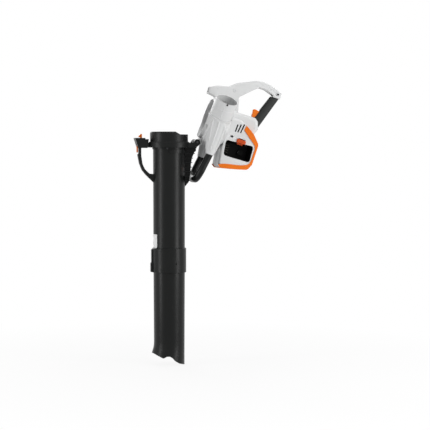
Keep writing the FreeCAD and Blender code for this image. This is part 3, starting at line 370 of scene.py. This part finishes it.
def buildTurnedMetal(s):
    group, come, leave = newGroup("turnedMetal", [
        ("Colour", "NodeSocketColor", (0.5, 0.5, 0.5, 1)),
        ("Roughness", "NodeSocketFloat", 0.3),
        ("Line Scale", "NodeSocketFloat", 1400.0)], skinOutputs)
    place = objectPlace(group)
    lines = noiseNode(group, mapped(group, place, s["stretch"]), come.outputs["Line Scale"], s["lineDetail"])
    low, swing = s["tone"]
    tone = plus(group, low, times(group, noiseNode(group, place, *s["cloud"]), swing))
    dull = plus(group, come.outputs["Roughness"], times(group, lines, s["lineDull"]))
    leaveSkin(group, leave, shaded(group, come.outputs["Colour"], tone), dull, lines)
    return group


edgeSettings = {"samples": 6, "gain": 3.0}


def buildSoftEdge(s):
    group, come, leave = newGroup("softEdge", [
        ("Radius", "NodeSocketFloat", 0.0006)], [
        ("Edge", "NodeSocketFloat"),
        ("Normal", "NodeSocketVector")])
    rounded = group.nodes.new("ShaderNodeBevel")
    rounded.samples = s["samples"]
    group.links.new(come.outputs["Radius"], rounded.inputs["Radius"])
    dot = group.nodes.new("ShaderNodeVectorMath")
    dot.operation = "DOT_PRODUCT"
    group.links.new(rounded.outputs[0], dot.inputs[0])
    group.links.new(group.nodes.new("ShaderNodeNewGeometry").outputs["Normal"], dot.inputs[1])
    clipped = group.nodes.new("ShaderNodeClamp")
    bend = times(group, minus(group, 1.0, dot.outputs["Value"]), s["gain"])
    group.links.new(bend, clipped.inputs[0])
    group.links.new(clipped.outputs[0], leave.inputs["Edge"])
    group.links.new(rounded.outputs[0], leave.inputs["Normal"])
    return group


softEdge = buildSoftEdge(edgeSettings)
skins = {
    "moulded": (buildMouldedSkin(mouldedSettings), {
        "Roughness": "roughness", "Grain Scale": "grain", "Mottle": "mottle", "Scratches": "scratches"}),
    "turned": (buildTurnedMetal(turnedSettings), {"Roughness": "roughness", "Line Scale": "lines"}),
    "pebble": (buildPebbleSkin(pebbleSettings), {"Roughness": "roughness", "Pebble Scale": "pebbles"}),
}

plasticFinishes = {
    "black_plastic": {
        "name": "blackPlastic", "colour": (0.0052, 0.0058, 0.0056), "rubbed": (0.05, 0.05, 0.052),
        "roughness": 0.35, "shine": 0.16, "grain": 1100, "depth": 0.1, "mottle": 0.25,
        "scratches": 0.05, "edge": 0.0006},
    "grey_plastic": {
        "name": "paleGreyPlastic", "colour": (0.62, 0.625, 0.625), "rubbed": (0.82, 0.82, 0.82),
        "roughness": 0.46, "shine": 0.4, "grain": 1300, "depth": 0.05, "mottle": 0.05,
        "scratches": 0.02, "edge": 0.0009},
    "orange_plastic": {
        "name": "orangePlastic", "colour": (0.73, 0.154, 0.005), "rubbed": (0.92, 0.32, 0.04),
        "roughness": 0.42, "shine": 0.25, "grain": 1100, "depth": 0.05, "mottle": 0.06,
        "scratches": 0.04, "edge": 0.0007},
    "red_plastic": {
        "name": "redOrangePlastic", "colour": (0.52, 0.06, 0.005), "rubbed": (0.86, 0.26, 0.03),
        "roughness": 0.4, "shine": 0.3, "grain": 1000, "depth": 0.04, "mottle": 0.05,
        "scratches": 0.04, "edge": 0.0006},
    "bay_plastic": {
        "name": "bayPlastic", "colour": (0.006, 0.006, 0.0065), "rubbed": (0.03, 0.03, 0.032),
        "roughness": 0.5, "shine": 0.2, "grain": 900, "depth": 0.1, "mottle": 0.2,
        "scratches": 0.05, "edge": 0.0005},
    "seal_rubber": {
        "name": "sealRubber", "colour": (0.012, 0.012, 0.012), "rubbed": (0.03, 0.03, 0.03),
        "roughness": 0.7, "shine": 0.25, "grain": 500, "depth": 0.1, "mottle": 0.2,
        "scratches": 0.0, "edge": 0.0005},
    "fan_plastic": {
        "name": "fanPlastic", "colour": (0.03, 0.031, 0.033), "rubbed": (0.08, 0.08, 0.082),
        "roughness": 0.5, "shine": 0.35, "grain": 700, "depth": 0.1, "mottle": 0.25,
        "scratches": 0.2, "edge": 0.0004},
}

rubberFinish = {
    "name": "softGrip", "colour": (0.0245, 0.0262, 0.0254), "rubbed": (0.07, 0.072, 0.071),
    "roughness": 0.7, "shine": 0.2, "pebbles": 560, "depth": 0.25, "edge": 0.0007}

metalFinishes = {
    "steel": {
        "name": "plainSteel", "colour": (0.56, 0.57, 0.58), "rubbed": (0.7, 0.7, 0.7),
        "roughness": 0.28, "shine": 0.5, "lines": 1500, "depth": 0.04, "edge": 0.0002},
    "cast_aluminium": {
        "name": "castAluminium", "colour": (0.6, 0.6, 0.61), "rubbed": (0.72, 0.72, 0.73),
        "roughness": 0.45, "shine": 0.5, "lines": 500, "depth": 0.15, "edge": 0.0006},
    "lamination": {
        "name": "steelLaminations", "colour": (0.2, 0.2, 0.21), "rubbed": (0.35, 0.35, 0.36),
        "roughness": 0.45, "shine": 0.5, "lines": 2500, "depth": 0.3, "edge": 0.0002},
    # painted shade: the contacts sit sunk deep in the bay and are coloured dark for the shade there, not
    # brass
    "contact_brass": {
        "name": "shadeDarkenedContacts", "colour": (0.09, 0.085, 0.075), "rubbed": (0.16, 0.15, 0.13),
        "roughness": 0.35, "shine": 0.5, "lines": 1200, "depth": 0.03, "edge": 0.0002},
    "dark_steel": {
        "name": "blackenedSteel", "colour": (0.055, 0.055, 0.058), "rubbed": (0.14, 0.14, 0.145),
        "roughness": 0.42, "shine": 0.4, "lines": 1500, "depth": 0.04, "edge": 0.0002},
}

edgeWear = 0.45         # how far a corner goes towards its rubbed colour
reliefHeight = 0.0004   # of the skins' grain, pebbles and turning lines


def makeFinish(s, skinName):
    group, fields = skins[skinName]
    material = bpy.data.materials.new(s["name"])
    material.use_nodes = True
    tree = material.node_tree
    shader = tree.nodes["Principled BSDF"]
    skin = tree.nodes.new("ShaderNodeGroup")
    skin.node_tree = group
    skin.inputs["Colour"].default_value = (*s["colour"], 1)
    for label, key in fields.items():
        skin.inputs[label].default_value = s[key]
    edge = tree.nodes.new("ShaderNodeGroup")
    edge.node_tree = softEdge
    edge.inputs["Radius"].default_value = s["edge"]
    wear = times(tree, edge.outputs["Edge"], edgeWear)
    worn = mixColour(tree, wear, skin.outputs["Colour"], (*s["rubbed"], 1))
    bump = tree.nodes.new("ShaderNodeBump")
    bump.inputs["Strength"].default_value = s["depth"]
    bump.inputs["Distance"].default_value = reliefHeight
    tree.links.new(worn, shader.inputs["Base Color"])
    tree.links.new(skin.outputs["Roughness"], shader.inputs["Roughness"])
    tree.links.new(skin.outputs["Height"], bump.inputs["Height"])
    tree.links.new(edge.outputs["Normal"], bump.inputs["Normal"])
    tree.links.new(bump.outputs[0], shader.inputs["Normal"])
    shader.inputs["Specular IOR Level"].default_value = s["shine"]
    if skinName == "turned":
        shader.inputs["Metallic"].default_value = 1.0
    material.diffuse_color = (*s["colour"], 1)
    return material


finishes = {key: makeFinish(plastic, "moulded") for key, plastic in plasticFinishes.items()}
finishes["grip_rubber"] = makeFinish(rubberFinish, "pebble")
finishes |= {key: makeFinish(metal, "turned") for key, metal in metalFinishes.items()}

blackenedNodes = ("hinge_pin", "tube_screws", "latch_pin")

for part in frame["record"]["subparts"]:
    finishName = "dark_steel" if part["node"] in blackenedNodes else part["material_slot"]
    for slot in nodes[part["node"]].material_slots:
        slot.material = finishes[finishName]
print("finishes ready:", len(finishes))


# Tools for the pieces that the solids leave out

hinge = Vector((0.1075, 0, -0.0128))
openTurn = Matrix.Rotation(math.radians(108), 4, "Y")
opened = Matrix.Translation(hinge) @ openTurn @ Matrix.Translation(-hinge)
spoutTurn = Matrix.Rotation(math.radians(27), 4, "Z")
weld = 1e-6


def finishPiece(bm, name, beside, finish, place=None):
    if place is not None:
        bmesh.ops.transform(bm, matrix=place, verts=bm.verts)
    bmesh.ops.remove_doubles(bm, verts=bm.verts, dist=weld)
    bmesh.ops.recalc_face_normals(bm, faces=bm.faces)
    mesh = bpy.data.meshes.new(name)
    bm.to_mesh(mesh)
    bm.free()
    mesh.materials.append(finish)
    piece = bpy.data.objects.new(name, mesh)
    bpy.context.scene.collection.objects.link(piece)
    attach(piece, nodes[beside]["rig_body"])
    return piece


def roundOff(bm, geom, width, segments, affect="EDGES"):
    bmesh.ops.bevel(bm, geom=list(geom), offset=width, segments=segments, affect=affect, profile=0.5,
                    material=-1)


# Bare plate on the barrel, where the real one has a printed label

plateFinish = makeFinish({
    "name": "plateFoil", "colour": (0.74, 0.74, 0.74), "rubbed": (0.7, 0.7, 0.7),
    "roughness": 0.42, "shine": 0.4, "grain": 600, "depth": 0.03, "mottle": 0.05,
    "scratches": 0.15, "edge": 0.0002}, "moulded")

tubePlate = {
    "radius": 0.0641,
    "turn": (212, 166),     # degrees round the tube from +X
    "height": (-0.4345, -0.380),
    "thick": 0.0005,
    "corner": 0.004,
    "cornerSteps": 4,
    "steps": 16,
}


def makeTubePlate(s):
    bm = bmesh.new()
    start, end = (math.radians(t) for t in s["turn"])
    ends = [bm.verts.new((s["radius"] * math.cos(start), s["radius"] * math.sin(start), z))
            for z in s["height"]]
    line = bm.edges.new(ends)
    bmesh.ops.spin(bm, geom=[*ends, line], cent=(0, 0, 0), axis=(0, 0, 1), angle=end - start,
                   steps=s["steps"])
    corners = [v for v in bm.verts if len(v.link_edges) == 2]
    roundOff(bm, corners, s["corner"], s["cornerSteps"], "VERTICES")
    bmesh.ops.recalc_face_normals(bm, faces=bm.faces)
    bmesh.ops.solidify(bm, geom=bm.faces[:], thickness=s["thick"])
    return finishPiece(bm, "tube_plate", "upper_tube", plateFinish)


makeTubePlate(tubePlate)


# Black block on the rim of the outlet, in the frame of the outlet: painted shade that stands in for the dark
# recess of the latch notch

paintedNotchShade = {
    "size": (0.007, 0.0022, 0.006),
    "corner": 0.0006,
    "cornerSteps": 3,
    "place": (-0.1237, -0.1106, 0.037),
}


def makePaintedNotchShade(s):
    bm = bmesh.new()
    bmesh.ops.create_cube(bm, size=1.0)
    bmesh.ops.scale(bm, vec=s["size"], verts=bm.verts)
    roundOff(bm, bm.edges, s["corner"], s["cornerSteps"])
    place = opened @ spoutTurn @ Matrix.Translation(s["place"])
    # the black finish paints the shade of the notch's recess
    return finishPiece(bm, "painted_notch_shade", "outlet_spout", finishes["black_plastic"], place)


makePaintedNotchShade(paintedNotchShade)


# Black sheets in the cooling slots, just proud of the housing's face, in the closed head's frame: painted
# shade that stands in for the dark inside of the slots

paintedVentShade = {
    "slots": (((-0.008, 0.1182), (0.0206, 0.1168)),
              ((-0.012, 0.131), (0.0197, 0.1272)),
              ((-0.0168, 0.1437), (0.019, 0.1384))),
    "wide": 0.0058,
    "over": 0.0012,         # past each end of a slot's middle line
    "thick": 0.0016,
    "proud": 0.0002,
    "corner": 0.0003,
    "beside": (0.006, 0.1235),
    "rayFrom": -0.3,
}


def faceDepth(name, x, start, z):
    solid = bmesh.new()
    solid.from_mesh(nodes[name].data)
    bmesh.ops.transform(solid, matrix=opened.inverted(), verts=solid.verts)
    hit = BVHTree.FromBMesh(solid).ray_cast(Vector((x, start, z)), Vector((0, 1, 0)))[0]
    solid.free()
    return hit.y


def makePaintedVentShade(s):
    besideX, besideZ = s["beside"]
    faceAt = faceDepth("body_near", besideX, s["rayFrom"], besideZ)
    bm = bmesh.new()
    for (x0, z0), (x1, z1) in s["slots"]:
        length = math.hypot(x1 - x0, z1 - z0) + 2 * s["over"]
        made = bmesh.ops.create_cube(bm, size=1.0)["verts"]
        bmesh.ops.scale(bm, vec=(length, s["thick"], s["wide"]), verts=made)
        turn = Matrix.Rotation(-math.atan2(z1 - z0, x1 - x0), 3, "Y")
        bmesh.ops.rotate(bm, cent=(0, 0, 0), matrix=turn, verts=made)
        middle = ((x0 + x1) / 2, faceAt - s["proud"] + s["thick"] / 2, (z0 + z1) / 2)
        bmesh.ops.translate(bm, vec=middle, verts=made)
    roundOff(bm, bm.edges, s["corner"], 1)
    # the black finish paints the shade inside the slots onto these sheets
    return finishPiece(bm, "painted_vent_shade", "body_near", finishes["bay_plastic"], opened)


makePaintedVentShade(paintedVentShade)


# Dark discs on the screw heads that face the battery side: painted shade that stands in for their sunk hex
# sockets

paintedSocketShade = {
    "share": {"housing_screws": 0.72, "eye_bolt": 0.86},    # of the head's radius
    "sides": 6,
    "proud": 0.00015,
    "thick": 0.0006,
    "headDepth": 0.0002,
    "headFrom": 0.0025,     # smaller ends are no heads
    "plugAbove": 0.15,      # the screw in the arm has a plain pale plug
}


def looseParts(bm):
    parts, seen = [], set()
    for first in bm.verts:
        if first in seen:
            continue
        seen.add(first)
        island = [first]
        for v in island:
            for e in v.link_edges:
                other = e.other_vert(v)
                if other not in seen:
                    seen.add(other)
                    island.append(other)
        parts.append(island)
    return parts


def makePaintedSocketShade(s):
    bm = bmesh.new()
    for name, share in s["share"].items():
        solid = bmesh.new()
        solid.from_mesh(nodes[name].data)
        bmesh.ops.remove_doubles(solid, verts=solid.verts, dist=weld)
        for island in looseParts(solid):
            front = min(v.co.y for v in island)
            cap = [v.co for v in island if v.co.y < front + s["headDepth"]]
            middle = sum(cap, Vector()) / len(cap)
            reach = max((c - middle).length for c in cap)
            plugged = name == "housing_screws" and middle.z > s["plugAbove"]
            if reach < s["headFrom"] or plugged:
                continue
            made = bmesh.ops.create_cone(bm, cap_ends=True, segments=s["sides"], radius1=reach * share,
                                         radius2=reach * share, depth=s["thick"])["verts"]
            bmesh.ops.rotate(bm, cent=(0, 0, 0), matrix=Matrix.Rotation(math.pi / 2, 3, "X"), verts=made)
            place = (middle.x, front - s["proud"] + s["thick"] / 2, middle.z)
            bmesh.ops.translate(bm, vec=place, verts=made)
        solid.free()
    # the dark finish on these discs is painted shade for the sockets' hollows
    return finishPiece(bm, "painted_socket_shade", "body_near", finishes["bay_plastic"], None)


makePaintedSocketShade(paintedSocketShade)


# Raised lines on the near side of the head, laid on its skin along lines of the picture.
# Half widths are in picture points, heights in metres; steps are across and along.

raisedLines = {
    "conduit_ribs": {
        "on": ("shoulder_near", "case_upper", "case_lower", "outlet_spout"), "beside": "case_upper",
        "lines": (((213.8, 117.6), (211.2, 128.0), (208.8, 141.0)),
                  ((219.6, 121.0), (214.6, 137.0), (209.8, 151.4)),
                  ((225.4, 124.5), (220.6, 140.0), (215.0, 151.8))),
        "wide": 1.45, "high": 0.0034, "steps": (10, 44)},
    "spout_ribs": {
        "on": ("outlet_spout",), "beside": "outlet_spout",
        "lines": (((224.6, 107.2), (222.6, 112.4), (220.6, 117.6)),
                  ((216.6, 102.4), (214.4, 108.2), (212.6, 113.2))),
        "wide": 0.8, "high": 0.0016, "steps": (8, 24)},
    "arm_bead": {
        "on": ("arm_near",), "beside": "arm_near",
        "lines": (((236.0, 86.9), (248.0, 83.6), (260.6, 83.9)),
                  ((260.2, 83.85), (268.0, 86.0), (276.0, 92.0))),
        "wide": 0.5, "high": 0.0009, "steps": (6, 40)},
}
lineSunk = 0.0002       # the sides of a line lie this far under the skin
lineFade = 0.1          # share of its length over which each end rises


def smooth(t):
    return t * t * (3 - 2 * t)


def makeRaisedLines(name, s):
    under = bmesh.new()
    for node in s["on"]:
        under.from_mesh(nodes[node].data)
    surface = BVHTree.FromBMesh(under)
    under.free()
    across, along = s["steps"]
    bm = bmesh.new()
    missed = []
    for line in s["lines"]:
        top, middle, end = (Vector(p) for p in line)
        made = bmesh.ops.create_grid(bm, x_segments=across, y_segments=along, size=1.0)["verts"]
        for v in made:
            u, t = v.co.x, (v.co.y + 1) / 2
            path = top * (1 - t) ** 2 + middle * 2 * t * (1 - t) + end * t ** 2
            lean = ((middle - top) * (1 - t) + (end - middle) * t).normalized()
            spot = path + Vector((-lean.y, lean.x)) * u * s["wide"]
            eye, aim = pictureRay(cameraSettings, spot)
            place, normal, _, _ = surface.ray_cast(eye, aim)
            if place is None:
                missed.append(v)
                continue
            if normal.dot(aim) > 0:
                normal = -normal
            fade = smooth(min(1, t / lineFade, (1 - t) / lineFade))
            rise = s["high"] * math.cos(math.pi * u / 2) ** 2 * fade
            v.co = place + normal * (rise - lineSunk)
    bmesh.ops.delete(bm, geom=missed, context="VERTS")
    bmesh.ops.smooth_vert(bm, verts=[v for v in bm.verts if not v.is_boundary], factor=0.5)
    piece = finishPiece(bm, name, s["beside"], finishes["grey_plastic"], None)
    for face in piece.data.polygons:
        face.use_smooth = True
    return piece


for lineName, lineValues in raisedLines.items():
    makeRaisedLines(lineName, lineValues)
print("small pieces ready")


print("scene made")
